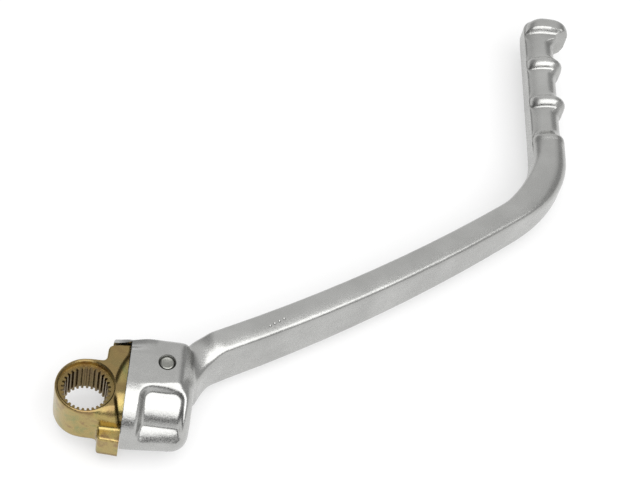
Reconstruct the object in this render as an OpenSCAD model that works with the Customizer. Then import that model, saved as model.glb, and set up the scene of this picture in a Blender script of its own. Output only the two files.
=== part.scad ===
// Folding kick start lever: a forged aluminium arm that folds on a splined steel knuckle.
// The origin is the middle of the splined bore. +Z runs along the shaft, +X along the fold
// axis from the knuckle to the arm. The lever is drawn folded flat, as it is stowed.

/* [Splined boss] */
// Outer diameter of the boss
boss_d = 26; // [25:0.5:30]
// Length of the boss along the shaft
boss_len = 22; // [20:0.5:26]
// Number of spline teeth
spline_teeth = 30; // [24:1:36]
// Diameter across the tooth tips
spline_tip_d = 18.4; // [16:0.2:19]
// Depth of one tooth
tooth_depth = 1.1; // [0.7:0.1:1.4]
// Diameter of the smooth recess at each mouth of the bore
recess_d = 23.2; // [22:0.1:24]
// Depth of that recess
recess_depth = 3; // [2:0.1:4]
// Round on the boss's outer edges
boss_edge = 0.7; // [0.2:0.1:1.2]

/* [Knuckle] */
// Distance from the shaft axis to the joint face
joint_x = 16.2; // [15.5:0.1:20]
// Diameter of the neck where it meets the joint face
neck_d = 26; // [24:0.5:28]
// Reach of the upper stop lug from the fold axis
upper_lug_y = 22; // [20:0.2:22.6]
// Reach of the lower stop lug from the fold axis
lower_lug_y = 19.2; // [17.5:0.1:19.2]
// Length of both lugs along the fold axis
lug_len = 9.2; // [7:0.2:9.6]
// How far each lug reaches past the middle plane
lug_overlap = 0.8; // [0:0.1:2]
// How far the lower lug reaches below the boss
lower_lug_drop = 1.4; // [0:0.1:2]
// Width of the relief behind the joint face
relief_w = 4.4; // [3:0.1:5]
// Depth of the relief in the flat faces
relief_depth = 1.2; // [0.6:0.1:2]

/* [Spigot and fold joint] */
// Diameter of the spigot that the arm turns on
spigot_d = 21; // [19:0.2:22]
// Length of the spigot
spigot_len = 21.3; // [20:0.1:24]
// Radial running clearance of the spigot in its bore
spigot_clear = 0.05; // [0.02:0.01:0.1]
// Gap between the knuckle's joint face and the hub
joint_gap = 0.3; // [0.2:0.05:0.6]
// Gap between a stop lug and its stop when it rests there
stop_gap = 0.3; // [0.1:0.05:0.5]
// Diameter of the retaining pin
pin_d = 6; // [5:0.1:6.4]
// Distance of the pin from the joint face
pin_from_joint = 15.6; // [14.6:0.1:16.4]
// Side clearance of the pin in its groove
pin_clear = 0.1; // [0.05:0.01:0.2]
// Thickness of the thrust washer
washer_t = 1; // [0.6:0.1:1.4]
// Outer diameter of the thrust washer
washer_d = 26; // [24:0.5:30]
// Section of the seal ring
seal_section = 1.4; // [1:0.1:1.8]

/* [Detent] */
// Diameter of the detent ball
ball_d = 5; // [4:0.1:5.4]
// Distance of the ball from the fold axis
ball_offset = 4.4; // [4:0.1:4.8]
// Depth of the two dimples that hold the ball
dimple_depth = 0.5; // [0.3:0.05:0.8]
// Coils in the detent spring
spring_coils = 5; // [3:1:7]
// Wire of the detent spring
spring_wire = 0.7; // [0.5:0.05:0.9]

/* [Hub] */
// Diameter of the hub's round front
hub_d = 38.4; // [36:0.4:44]
// Length of the hub along the fold axis
hub_len = 27.8; // [27:0.2:32]
// Half height of the hub's flat top and bottom
hub_half_h = 19.2; // [18.4:0.1:22]
// Reach of the hub's back wall from the fold axis
hub_back_y = 24; // [23.6:0.1:26]
// Depth of the pocket in the round front
pocket_depth = 2.5; // [1:0.1:3.5]
// Distance of the pocket from the joint side of the hub
pocket_from_face = 5.8; // [5:0.1:7]
// Width of the pocket at its rim
pocket_w = 20.2; // [16:0.2:20.6]

/* [Arm] */
// Height of the arm at its root
arm_root_h = 26.7; // [22:0.5:30]
// Height of the arm at the bend
arm_end_h = 21; // [17:0.5:24]
// Thickness of the arm
arm_t = 12; // [10:0.5:14]
// Edge rounding of the arm
arm_edge = 2; // [1:0.1:3]
// Crown of the arm's top and bottom
arm_crown = 0.5; // [0:0.1:1]
// Length of the arm from its root to the bend
arm_len = 166; // [130:2:210]
// Heading of the arm at its root, from the fold axis
arm_heading = 29.2; // [24:0.2:34]
// Sweep of the arm's long curve
arm_sweep = 11.8; // [4:0.2:18]

/* [Bend and pedal] */
// Radius of the bend at the arm's middle line
bend_r = 46; // [36:1:60]
// Heading of the pedal, from the fold axis
pedal_heading = 92.5; // [86:0.5:100]
// Length of the pedal from the bend to its end face
pedal_len = 86; // [80:0.5:104]
// Reach of the pedal's flat inner face from the middle line
pedal_in = 5.2; // [4.5:0.1:6]
// Reach of the full section from the middle line, outwards
shoulder_out = 11; // [10.4:0.2:13]
// Half height of the full section at the shoulder
shoulder_half_h = 10; // [9:0.1:12]
// Reach of the grip bar from the middle line, outwards
bar_out = 9.9; // [8.5:0.1:11]
// Half height of the grip bar
bar_half_h = 7.4; // [7.2:0.1:8.6]
// Edge rounding of the pedal's outer side
pedal_edge_out = 7; // [4:0.2:7]
// Edge rounding of the pedal's inner side
pedal_edge_in = 3.4; // [2:0.1:4]
// Height of a rib over the bar
rib_rise = 3; // [1.5:0.1:3.5]
// Number of ribs
rib_count = 2; // [1:1:3]
// Spacing of the ribs and the end flange
rib_pitch = 24; // [21:0.5:26]
// Length of a rib along the bar
rib_len = 12.5; // [10:0.5:16]
// Height of the end flange over the bar, outwards
flange_rise_out = 7.2; // [4:0.2:8]
// Height of the end flange over the bar, up and down
flange_rise_up = 3; // [2:0.1:4.5]
// Length of the end flange
flange_len = 9.5; // [7:0.5:12]

/* [Hidden] */
$fn = 96;

ALUMINIUM = [0.72, 0.72, 0.73];
YELLOW_ZINC = [0.74, 0.64, 0.36];
BRIGHT_STEEL = [0.62, 0.62, 0.60];
SEAL_RUBBER = [0.12, 0.12, 0.12];

// Places that the mating pieces share
half_boss = boss_len / 2;
lower_lug_z = half_boss + lower_lug_drop;
hub_x = joint_x + joint_gap;
hub_end_x = hub_x + hub_len;
spigot_r = spigot_d / 2;
bore_r = spigot_r + spigot_clear;
spigot_end_x = joint_x + spigot_len;
end_room = 0.2;
bore_end_x = spigot_end_x + joint_gap + end_room;
pin_x = joint_x + pin_from_joint;
pin_lift = 0.1;
pin_y = spigot_r + pin_lift;
pin_groove_r = pin_y - pin_d / 2 - pin_clear;
pin_chamfer = 0.45;
pin_end_chamfer = 0.5;
pin_sink = 0.2;
washer_play = 0.05;
washer_side_clear = 0.1;
washer_inner_r = bore_r + washer_play;
seal_x = joint_x + 3.4;
seal_side_clear = 0.1;
seal_radial_clear = 0.03;
seal_floor_r = bore_r - seal_section - 2 * seal_radial_clear;
ball_angle = 135;
ball_seat_clear = 0.06;
ball_end_clear = 0.03;
ball_x = bore_end_x - ball_d / 2 - ball_end_clear;
spring_side_clear = 0.15;
spring_r = ball_d / 2 - spring_wire / 2 - spring_side_clear;
spring_len = 9;
spring_gap = 0.05;
ball_sink = 1.6;
drill_len = ball_d + spring_len - ball_sink;

// Shapes of the spline and of the boss's mouths
tip_share = 0.30;
root_share = 0.16;
mouth_chamfer = 0.4;

// Forging drafts, rounds and corners
lug_draft = 10;
lug_fillet = 1.8;
neck_inset = 0.05;
spigot_chamfer = 0.8;
face_chamfer = 0.5;
front_draft = 1.2;
front_end_round = 7.2;
back_draft = 1.2;
back_corner = 4.6;
back_end_round = 6;
slope_round = 4;
slope_from = 8;
root_inset = 2.2;

// The tongue clears the knuckle as it turns, and its top lies under the hub's
tongue_clear = 0.8;
tongue_inset = 1.6;
tongue_low = lug_overlap + 0.7;
tongue_top = hub_half_h - 3.2;
tongue_shoulder = 8;

// The pocket lies in the lower quarter of the hub's round front
pocket_angle = 90;
pocket_corner = 5;
pocket_slope = 0.8;
pocket_skin = 0.8;
pocket_step = 1.2;
ring_reach = 8;
ring_flare = 3;
ring_out = hub_d / 2 + ring_reach;

// How far a cut reaches past what it cuts
over = 1;

// Turns a profile of [radius, x] points about the fold axis
module turned(profile, from = 0, angle = 360) {
    rotate([0, 90, 0])
        rotate([0, 0, 90 + from])
            rotate_extrude(angle = angle)
                polygon(profile);
}

// Extrudes a [y, z] outline along the fold axis
module along_x(x0, x1) {
    translate([x0, 0, 0])
        rotate([90, 0, 90])
            linear_extrude(height = x1 - x0)
                children();
}

// Extrudes an [x, z] outline through the hub from front to back
module along_y(y0, y1) {
    translate([0, y1, 0])
        rotate([90, 0, 0])
            linear_extrude(height = y1 - y0)
                children();
}

// Points of an arc about c, from angle a to angle b
function arc(c, r, a, b, n = 8) = [
    for (i = [0 : n]) let (t = a + (b - a) * i / n) c + r * [cos(t), sin(t)]
];

function clamp01(t) = min(1, max(0, t));
function smooth(t) = let (k = clamp01(t)) k * k * (3 - 2 * k);
function mix(a, b, t) = a + (b - a) * t;

// Internal spline: straight-sided teeth that point inwards
function spline_outline(tip_r, root_r, n) = [
    for (i = [0 : n - 1])
        for (p = [[-tip_share, tip_r], [-root_share, root_r], [root_share, root_r], [tip_share, tip_r]])
            p[1] * [cos((i + p[0]) * 360 / n), sin((i + p[0]) * 360 / n)]
];

module boss() {
    r = boss_d / 2;
    rotate_extrude()
        polygon(concat(
            [[0, -half_boss]],
            arc([r - boss_edge, -half_boss + boss_edge], boss_edge, -90, 0, 4),
            arc([r - boss_edge, half_boss - boss_edge], boss_edge, 0, 90, 4),
            [[0, half_boss]]
        ));
}

module splined_bore() {
    tip_r = spline_tip_d / 2;
    root_r = tip_r + tooth_depth;
    recess_r = recess_d / 2;
    seat_z = half_boss - recess_depth;
    lead_z = seat_z - (recess_r - root_r) / 2;
    linear_extrude(height = boss_len + 2 * over, center = true)
        polygon(spline_outline(tip_r, root_r, spline_teeth));
    for (side = [0, 180])
        rotate([side, 0, 0])
            rotate_extrude()
                polygon([
                    [0, lead_z], [tip_r + tooth_depth / 2, lead_z], [recess_r, seat_z],
                    [recess_r, half_boss - mouth_chamfer],
                    [recess_r + mouth_chamfer + over, half_boss + over], [0, half_boss + over]
                ]);
}

// The neck blends the boss into a round end about the fold axis, under flat faces
module neck() {
    intersection() {
        hull() {
            cylinder(r = boss_d / 2 - neck_inset, h = boss_len - 2 * boss_edge, center = true, $fn = 32);
            translate([joint_x - 1, 0, 0])
                rotate([0, 90, 0])
                    cylinder(d = neck_d, h = 1, $fn = 32);
        }
        translate([-boss_d, -boss_d, -half_boss])
            cube([boss_d + joint_x, 2 * boss_d, boss_len]);
    }
}

// One stop lug in plan, with the web that joins it to the boss
function lug_outline(reach, slant, corner) = let (x0 = joint_x - lug_len, web = boss_d / 2) concat(
    [[0, 0], [0, web - neck_inset]],
    arc([x0 - lug_fillet, web + lug_fillet], lug_fillet, 270, 360 - lug_draft, 5),
    arc([x0 + corner, reach - slant - corner], corner, 180, 90 + lug_draft, 5),
    [[joint_x, reach], [joint_x, 0]]
);

module upper_lug() {
    translate([0, 0, -lug_overlap])
        linear_extrude(height = half_boss + lug_overlap)
            polygon(lug_outline(upper_lug_y, slant = 1.1, corner = 2.6));
}

// The lower lug's block reaches below the boss, and its web ends level with the boss's face
module lower_lug() {
    block_x = joint_x - lug_len;
    block_y = boss_d / 2 - over;
    intersection() {
        translate([0, 0, -lower_lug_z])
            linear_extrude(height = lower_lug_z + lug_overlap)
                mirror([0, 1])
                    polygon(lug_outline(lower_lug_y, slant = 0.4, corner = 1.2));
        union() {
            translate([0, -2 * boss_d, -half_boss])
                cube([joint_x, 2 * boss_d, boss_len]);
            translate([block_x, -2 * boss_d, -boss_len])
                cube([lug_len, 2 * boss_d - block_y, 2 * boss_len]);
        }
    }
}

// Relief behind the joint face: a wide arc in plan, a flat floor beside the upper lug and a
// round floor over the front of the neck
module joint_relief() {
    reach = boss_d / 2 + 2.5;
    middle_y = 1.5;
    arc_r = (reach * reach + relief_w * relief_w) / (2 * relief_w);
    floor_z = half_boss - relief_depth;
    floor_r = spigot_r + 0.4;
    low = lug_overlap + 1.6;
    for (turn = [0, 180])
        rotate([turn, 0, 0])
            difference() {
                translate([joint_x - relief_w + arc_r, middle_y, low])
                    cylinder(r = arc_r, h = lower_lug_z);
                rotate([0, 90, 0])
                    cylinder(r = floor_r, h = 3 * arc_r);
                translate([0, 0, -over])
                    cube([3 * arc_r, 2 * reach, floor_z + over]);
            }
}

module spigot() {
    groove_half = pin_d / 2 + pin_clear;
    seal_half = seal_section / 2 + seal_side_clear;
    turned([
        [0, joint_x - 3], [spigot_r, joint_x - 3], [spigot_r, seal_x - seal_half],
        [seal_floor_r, seal_x - seal_half], [seal_floor_r, seal_x + seal_half],
        [spigot_r, seal_x + seal_half], [spigot_r, pin_x - groove_half],
        [pin_groove_r, pin_x - groove_half], [pin_groove_r, pin_x + groove_half],
        [spigot_r, pin_x + groove_half], [spigot_r, spigot_end_x - spigot_chamfer],
        [spigot_r - spigot_chamfer, spigot_end_x], [0, spigot_end_x]
    ]);
}

// Places its children on the detent's own axis, parallel to the fold axis
module at_detent(turn = 0) {
    rotate([turn, 0, 0])
        translate([0, ball_offset * cos(ball_angle), ball_offset * sin(ball_angle)])
            rotate([0, 90, 0])
                children();
}

module knuckle() {
    color(YELLOW_ZINC)
        difference() {
            union() {
                boss();
                neck();
                upper_lug();
                lower_lug();
                spigot();
            }
            splined_bore();
            joint_relief();
            at_detent()
                translate([0, 0, spigot_end_x - drill_len])
                    cylinder(d = ball_d + 2 * ball_seat_clear, h = drill_len + over, $fn = 48);
        }
}

// Round front of the hub: a slight draft, and a full round at the arm's side
module hub_front() {
    r = hub_d / 2;
    end_r = r - front_draft - front_end_round;
    turned(concat(
        [[0, hub_x], [r - face_chamfer, hub_x], [r, hub_x + face_chamfer], [r, hub_x + slope_from / 2]],
        arc([end_r, hub_end_x - front_end_round], front_end_round, 0, 90, 10),
        [[0, hub_end_x]]
    ));
}

// Outline of the hub's square back, with a draft to the middle plane
function back_outline() = let (h = hub_half_h, c = back_corner, y = hub_back_y - back_draft - c) concat(
    [[-over, -h], [y, -h]],
    arc([y, -h + c], c, -90, -8, 5),
    [[hub_back_y, 0]],
    arc([y, h - c], c, 8, 90, 5),
    [[-over, h]]
);

// Side view of the hub's back: the flats run down to the arm in a round slope
function back_side_outline() = let (
    h = hub_half_h, x1 = hub_end_x - slope_from, end_x = hub_end_x + 0.6, end_h = arm_root_h / 2 - root_inset
) concat(
    [[hub_x, -h]],
    arc([x1, -h + slope_round], slope_round, -90, -45, 4),
    [[end_x, -end_h], [end_x, end_h]],
    arc([x1, h - slope_round], slope_round, 45, 90, 4),
    [[hub_x, h]]
);

// Plan of the hub's back: it rounds over to the joint side, and slants in below the arm
function back_plan() = let (r = back_end_round, f = slope_round) concat(
    [[hub_x, -2 * over]],
    [for (p = [[0, 1.7], [2, 0.9], [5, 0.2], [8, 0]]) [hub_x + p[0], hub_back_y - p[1]]],
    arc([hub_end_x - r - 2, hub_back_y - r], r, 90, 30, 5),
    arc([hub_end_x - f, f], f, 0, -40, 4)
);

module hub_back() {
    intersection() {
        along_x(hub_x, hub_end_x + over)
            polygon(back_outline());
        along_y(-2 * over, hub_back_y + over)
            polygon(back_side_outline());
        translate([0, 0, -hub_half_h - over])
            linear_extrude(height = 2 * (hub_half_h + over))
                polygon(back_plan());
    }
}

// Stop tongue: a lip behind the upper lug, and a broad stop for the lower lug
module stop_tongue() {
    lip_y = upper_lug_y + stop_gap;
    clear_r = norm([neck_d / 2, half_boss]) + tongue_clear;
    stop_y = lower_lug_z + stop_gap;
    tongue_x = joint_x - lug_len + tongue_inset;
    out_y = hub_back_y + over;
    out_z = hub_half_h + over;
    intersection() {
        along_x(tongue_x, hub_x + 2)
            polygon(concat(
                [[lip_y, hub_half_h], [lip_y, -tongue_low]],
                arc([0, 0], clear_r, -asin(tongue_low / clear_r), -acos(stop_y / clear_r), 8),
                [[stop_y, -out_z], [out_y, -out_z], [out_y, hub_half_h]]
            ));
        along_x(tongue_x - over, hub_x + 3)
            polygon(back_outline());
        along_y(0, out_y)
            polygon(tongue_side_outline(tongue_x, out_z));
    }
}

// Side view of the tongue: its free end is rounded, and its top climbs to the hub's
function tongue_side_outline(x0, out_z) = concat(
    [[x0, -out_z], [x0, tongue_shoulder]],
    arc([x0 + slope_round, tongue_shoulder + 1.4], slope_round, 180, 120, 4),
    [[hub_x - 2.5, tongue_top - 1.4], [hub_x, tongue_top]],
    [[hub_x + 3, tongue_top + 1], [hub_x + 3, -out_z]]
);

// Shallow pocket in the round front: rounded corners, sloping walls and a floor about the fold axis
module front_pocket() {
    floor_r = hub_d / 2 - pocket_skin - pocket_depth;
    x0 = hub_x + pocket_from_face;
    x1 = min(x0 + pocket_w, hub_end_x - 2);
    slope = pocket_depth * pocket_slope;
    half_span = hub_d / 2 * sin(pocket_angle / 2) + 0.2 - pocket_corner;
    intersection() {
        union() {
            pocket_ring(floor_r, x0 + slope, x1 - slope, 3);
            pocket_ring(floor_r + pocket_step, x0 + slope - 1, x1 - slope + 1, 0.5);
        }
        rotate([pocket_angle / 2, 0, 0])
            linear_extrude(height = ring_out)
                hull()
                    for (x = [x0 + pocket_corner, x1 - pocket_corner], y = [-half_span, half_span])
                        translate([x, y])
                            circle(r = pocket_corner, $fn = 32);
    }
}

// One ring cut of the pocket, held back by a margin in degrees at both ends
module pocket_ring(floor_r, x0, x1, margin) {
    slope = pocket_depth * pocket_slope;
    mouth_x0 = hub_x + pocket_from_face - ring_flare;
    mouth_x1 = x1 + slope + ring_flare;
    turned([
        [floor_r, x0], [floor_r, x1], [ring_out, mouth_x1], [ring_out, mouth_x0]
    ], 90 + margin, pocket_angle - 2 * margin);
}

module spigot_bore() {
    bore_x0 = joint_x - lug_len;
    seat_r = washer_d / 2 + washer_side_clear;
    seat_x = joint_x + washer_t + 2 * washer_play;
    turned([[0, bore_x0], [bore_r, bore_x0], [bore_r, bore_end_x], [0, bore_end_x]]);
    turned([[0, hub_x - over], [seat_r, hub_x - over], [seat_r, seat_x], [0, seat_x]]);
    for (turn = [0, 90])
        at_detent(turn)
            translate([0, 0, ball_x + dimple_depth])
                sphere(d = ball_d + 2 * ball_seat_clear, $fn = 48);
}

module pin_hole() {
    mouth = pin_chamfer + over;
    translate([pin_x, pin_y, 0]) {
        cylinder(d = pin_d, h = 2 * (hub_half_h + over), center = true, $fn = 64);
        for (side = [0, 180])
            rotate([side, 0, 0])
                translate([0, 0, hub_half_h - pin_chamfer])
                    cylinder(d1 = pin_d, d2 = pin_d + 2 * mouth, h = mouth, $fn = 64);
    }
}

// The middle line of the arm is a long curve, a bend and the straight pedal
bend_turn = pedal_heading - arm_heading - arm_sweep;
bend_len = bend_r * bend_turn * PI / 180;
pedal_u = arm_len + bend_len;
end_u = pedal_u + pedal_len;
root_u = -9;
arm_root = [hub_end_x + 2, hub_back_y + 0.2];

function heading(u) = u < arm_len
    ? arm_heading + arm_sweep * max(0, u) / arm_len
    : arm_heading + arm_sweep + bend_turn * clamp01((u - arm_len) / bend_len);

function along(a) = [cos(a), sin(a)];
function chord(len, a0, a1) = a0 == a1
    ? len * along(a0)
    : (len / ((a1 - a0) * PI / 180)) * [sin(a1) - sin(a0), cos(a0) - cos(a1)];
arm_end = arm_root + chord(arm_len, arm_heading, arm_heading + arm_sweep);
bend_end = arm_end + chord(bend_len, arm_heading + arm_sweep, pedal_heading);
function place(u) = u < 0 ? arm_root + u * along(arm_heading)
    : u < arm_len ? arm_root + chord(u, arm_heading, heading(u))
    : u < pedal_u ? arm_end + chord(u - arm_len, arm_heading + arm_sweep, heading(u))
    : bend_end + (u - pedal_u) * along(pedal_heading);

// Distance along the middle line of rib i, counted back from the end flange
flange_u = end_u - flange_len / 2;
function rib_u(i) = flange_u - (i + 1) * rib_pitch;
shoulder_u = rib_u(rib_count - 1) - rib_pitch + 1;
shoulder_len = 6;
flange_ramp = 4.5;
// Extra material in the inside of the bend
inner_fillet = 1.5;
// The arm's root sinks into the hub, and flares out to meet the hub's side
root_dip_h = 2.6;
root_dip_len = 8;
root_flare_out = 9;
root_flare_u = 11;
root_tuck = 2.4;
// Rounds of the pedal's end face: outwards, inwards, up and down, and of its corners
tip_round_out = 5.5;
tip_round_in = 5;
tip_round_up = 4;
tip_corner = 6.2;
tip_len = 12;

// One soft rib, from 0 beside it to 1 on its crest
function rib_bump(d, len) = let (t = clamp01(1 - abs(d) / (len / 2))) t * t * (3 - 2 * t);
function ribs(u) = max([for (i = [0 : rib_count - 1]) rib_bump(u - rib_u(i), rib_len)]);
function flange(u) = smooth((u - (end_u - flange_len - flange_ramp)) / flange_ramp);
function shoulder(u) = 1 - smooth((u - shoulder_u) / shoulder_len);
// How far the end face is drawn in by its round, for a round of the given size
function tip_round(u, r) = let (t = clamp01(1 - (end_u - u) / r)) r * (1 - sqrt(1 - t * t));

// The section at u: reach inwards, reach outwards, half height, inner and outer edge rounding
function full_half_h(u) = let (k = clamp01(u / arm_len))
    mix(mix(arm_root_h, arm_end_h, k) / 2, shoulder_half_h, smooth((u - arm_len) / bend_len));
function root_dip(u) = root_dip_h * (1 - smooth((u + over) / root_dip_len));
function root_flare(u) = root_flare_out * pow(clamp01((root_flare_u - u) / (root_flare_u - root_u)), 2.2);
function reach_out(u) = u < pedal_u
    ? mix(arm_t / 2, shoulder_out, smooth((u - arm_len) / bend_len)) + root_flare(u)
    : let (grip = bar_out + max(ribs(u) * rib_rise, flange(u) * flange_rise_out))
        mix(grip, shoulder_out, shoulder(u)) - tip_round(u, tip_round_out);
function reach_in(u) = mix(arm_t / 2, pedal_in, smooth((u - arm_len) / bend_len))
    + inner_fillet * sin(180 * clamp01((u - arm_len) / bend_len))
    - root_tuck * (1 - smooth((u - root_u) / -root_u)) - tip_round(u, tip_round_in);
function top_h(u) = u < pedal_u
    ? full_half_h(u) - root_dip(u)
    : let (grip = bar_half_h + max(ribs(u) * rib_rise, flange(u) * flange_rise_up))
        mix(grip, shoulder_half_h, shoulder(u)) - tip_round(u, tip_round_up);
function low_h(u) = u < pedal_u ? full_half_h(u) - root_dip(u) : shoulder_half_h - tip_round(u, tip_round_up);
function edge_out(u) = mix(arm_edge, pedal_edge_out, smooth((u - arm_len) / bend_len));
function edge_in(u) = mix(
    mix(arm_edge, pedal_edge_in, smooth((u - arm_len) / bend_len)),
    tip_corner, smooth((u - (end_u - tip_len)) / (tip_len - 2))
);
function crown(u) = arm_crown * (1 - smooth((u - arm_len) / bend_len));

// A section is a ring of corner arcs with a crown between them, seen along the middle line
function section(u, n) = let (
    i = reach_in(u), o = reach_out(u), top = top_h(u), low = low_h(u), ei = edge_in(u), eo = edge_out(u),
    middle = (i - ei - o + eo) / 2, quarter = (i - ei + o - eo) / 4, c = crown(u)
) concat(
    arc([-(o - eo), top - eo], eo, 180, 90, n),
    [[middle - quarter, top + 0.75 * c], [middle, top + c], [middle + quarter, top + 0.75 * c]],
    arc([i - ei, top - ei], ei, 90, 0, n),
    arc([i - ei, -(low - ei)], ei, 0, -90, n),
    [[middle + quarter, -low - 0.75 * c], [middle, -low - c], [middle - quarter, -low - 0.75 * c]],
    arc([-(o - eo), -(low - eo)], eo, -90, -180, n)
);
function ring(u, n) = let (c = place(u), side = along(heading(u) + 90)) [
    for (p = section(u, n)) [c[0] + side[0] * p[0], c[1] + side[1] * p[0], p[1]]
];

// Stations lie close where the shape changes fast
stations = concat(
    [for (u = [root_u : 2 : 12]) u],
    [for (i = [1 : 10]) mix(13, arm_len - 2, i / 10)],
    [for (i = [1 : 12]) mix(arm_len - 2, pedal_u, i / 12)],
    [for (i = [1 : 4]) mix(pedal_u, shoulder_u, i / 4)],
    [for (i = [1 : 36]) mix(shoulder_u, end_u - 7.5, i / 36)],
    [for (d = [6, 4.6, 3.4, 2.4, 1.5, 0.8, 0.3, 0.05]) end_u - d]
);

// Skins a stack of equal rings and closes both ends
module loft(rings) {
    n = len(rings[0]);
    m = len(rings);
    polyhedron(
        points = [for (r = rings) for (p = r) p],
        faces = concat(
            [[for (i = [n - 1 : -1 : 0]) i]],
            [for (k = [0 : m - 2]) for (i = [0 : n - 1])
                let (a = k * n + i, b = k * n + (i + 1) % n) [a, b, b + n, a + n]],
            [[for (i = [0 : n - 1]) (m - 1) * n + i]]
        ),
        convexity = 6
    );
}

module arm_and_pedal() {
    loft([for (u = stations) ring(u, 5)]);
}

module kick_arm() {
    color(ALUMINIUM)
        difference() {
            union() {
                difference() {
                    hub_front();
                    front_pocket();
                }
                hub_back();
                stop_tongue();
                arm_and_pedal();
            }
            spigot_bore();
            pin_hole();
        }
}

module retaining_pin() {
    r = pin_d / 2;
    half = hub_half_h - pin_sink;
    c = pin_end_chamfer;
    color(BRIGHT_STEEL)
        translate([pin_x, pin_y, 0])
            rotate_extrude($fn = 64)
                polygon([
                    [0, -half], [r - c, -half], [r, -half + c], [r, half - c], [r - c, half], [0, half]
                ]);
}

module thrust_washer() {
    x0 = joint_x + washer_play;
    color(BRIGHT_STEEL)
        turned([
            [washer_inner_r, x0], [washer_d / 2, x0],
            [washer_d / 2, x0 + washer_t], [washer_inner_r, x0 + washer_t]
        ]);
}

module seal_ring() {
    r = seal_section / 2;
    color(SEAL_RUBBER)
        turned(arc([seal_floor_r + r + seal_radial_clear, seal_x], r, 0, 345, 23));
}

module detent_ball() {
    color(BRIGHT_STEEL)
        at_detent()
            translate([0, 0, ball_x])
                sphere(d = ball_d, $fn = 48);
}

// Coil spring, swept as one tube of six-sided wire with closed ends
module detent_spring() {
    steps = spring_coils * 16;
    wire_r = spring_wire / 2;
    x0 = spigot_end_x - drill_len + wire_r + spring_gap;
    ball_back = sqrt(pow(ball_d / 2 + wire_r + spring_gap, 2) - pow(spring_r, 2));
    travel = ball_x - ball_back - x0;
    function coil(t) = let (a = 360 * spring_coils * t) [spring_r * cos(a), spring_r * sin(a), travel * t];
    function wire(i) = let (t = i / steps, a = 360 * spring_coils * t, c = coil(t)) [
        for (k = [0 : 5]) c + wire_r * (cos(k * 60) * [cos(a), sin(a), 0] + sin(k * 60) * [0, 0, 1])
    ];
    color(BRIGHT_STEEL)
        at_detent()
            translate([0, 0, x0])
                loft([for (i = [0 : steps]) wire(i)]);
}

kick_arm();
knuckle();
retaining_pin();
thrust_washer();
seal_ring();
detent_ball();
detent_spring();
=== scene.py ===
"""Looks of a folding kick start lever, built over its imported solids.

The forged arm and the forged knuckle start as merged copies of their solids. A voxel skin
and a smoothing give them the soft fillets of a forging, and crisp cutters then machine the
faces, bores and teeth of the real pieces. Forms that the die presses and no operator gives,
the pocket, the low tongue and the grip, are pressed into the skin by formula. Sizes are written
in millimetres.
"""

import logging
import math
from dataclasses import dataclass
from enum import Enum
from typing import Any, Optional, Sequence

import bpy
from mathutils import Matrix, Vector

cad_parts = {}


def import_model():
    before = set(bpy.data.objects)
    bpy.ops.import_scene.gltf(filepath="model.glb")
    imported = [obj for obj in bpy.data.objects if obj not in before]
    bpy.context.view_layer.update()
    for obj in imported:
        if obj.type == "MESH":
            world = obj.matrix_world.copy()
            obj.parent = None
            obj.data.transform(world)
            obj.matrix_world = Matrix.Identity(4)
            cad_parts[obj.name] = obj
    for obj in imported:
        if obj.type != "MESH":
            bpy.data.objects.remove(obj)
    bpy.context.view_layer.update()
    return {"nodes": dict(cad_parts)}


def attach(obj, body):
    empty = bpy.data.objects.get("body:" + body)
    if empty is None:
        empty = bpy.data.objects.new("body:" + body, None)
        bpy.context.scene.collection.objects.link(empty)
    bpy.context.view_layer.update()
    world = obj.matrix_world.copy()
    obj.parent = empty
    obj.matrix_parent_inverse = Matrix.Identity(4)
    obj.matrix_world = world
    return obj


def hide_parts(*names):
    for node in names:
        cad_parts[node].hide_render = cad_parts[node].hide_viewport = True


log = logging.getLogger("kick_start_lever")

MM = 0.001
Point2 = tuple[float, float]
Point3 = tuple[float, float, float]


class Along(Enum):
    """The axis that a turned or extruded form runs along, as a turn from +Z."""

    X = (0.0, math.pi / 2, 0.0)
    Y = (-math.pi / 2, 0.0, 0.0)
    Z = (0.0, 0.0, 0.0)


def select_only(*objects: bpy.types.Object) -> None:
    """Selects these objects alone and makes the first one active.

    Args:
        objects: the objects that the next operator acts on.
    """
    bpy.ops.object.select_all(action="DESELECT")
    for obj in objects:
        obj.select_set(True)
    bpy.context.view_layer.objects.active = objects[0]


def just_added(name: str) -> bpy.types.Object:
    """Names the object that the last operator added, and gives it."""
    made = bpy.context.view_layer.objects.active
    made.name = name
    return made


def place_in_mesh(obj: bpy.types.Object) -> bpy.types.Object:
    """Moves an object's place, turn and size into its mesh.

    Args:
        obj: the object to settle.

    Returns:
        The same object, now at the origin.
    """
    select_only(obj)
    bpy.ops.object.transform_apply(location=True, rotation=True, scale=True)
    return obj


def apply_modifier(obj: bpy.types.Object, kind: str, **settings: Any) -> None:
    """Adds a modifier, sets it and applies it.

    Args:
        obj: the object that it shapes.
        kind: Blender's name of the modifier type.
        settings: the modifier's own settings by name.
    """
    select_only(obj)
    modifier = obj.modifiers.new(kind.title(), kind)
    for name, value in settings.items():
        setattr(modifier, name, value)
    bpy.ops.object.modifier_apply(modifier=modifier.name)


def tidy_mesh(obj: bpy.types.Object, outwards: bool = True, merge_mm: float = 0.002) -> None:
    """Merges doubled vertices and points all faces outwards.

    Args:
        obj: the object whose mesh is tidied.
        outwards: whether its faces are turned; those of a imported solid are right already.
        merge_mm: vertices closer than this become one.
    """
    select_only(obj)
    bpy.ops.object.mode_set(mode="EDIT")
    bpy.ops.mesh.select_all(action="SELECT")
    bpy.ops.mesh.remove_doubles(threshold=merge_mm * MM)
    if outwards:
        bpy.ops.mesh.normals_make_consistent(inside=False)
    bpy.ops.object.mode_set(mode="OBJECT")


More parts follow.
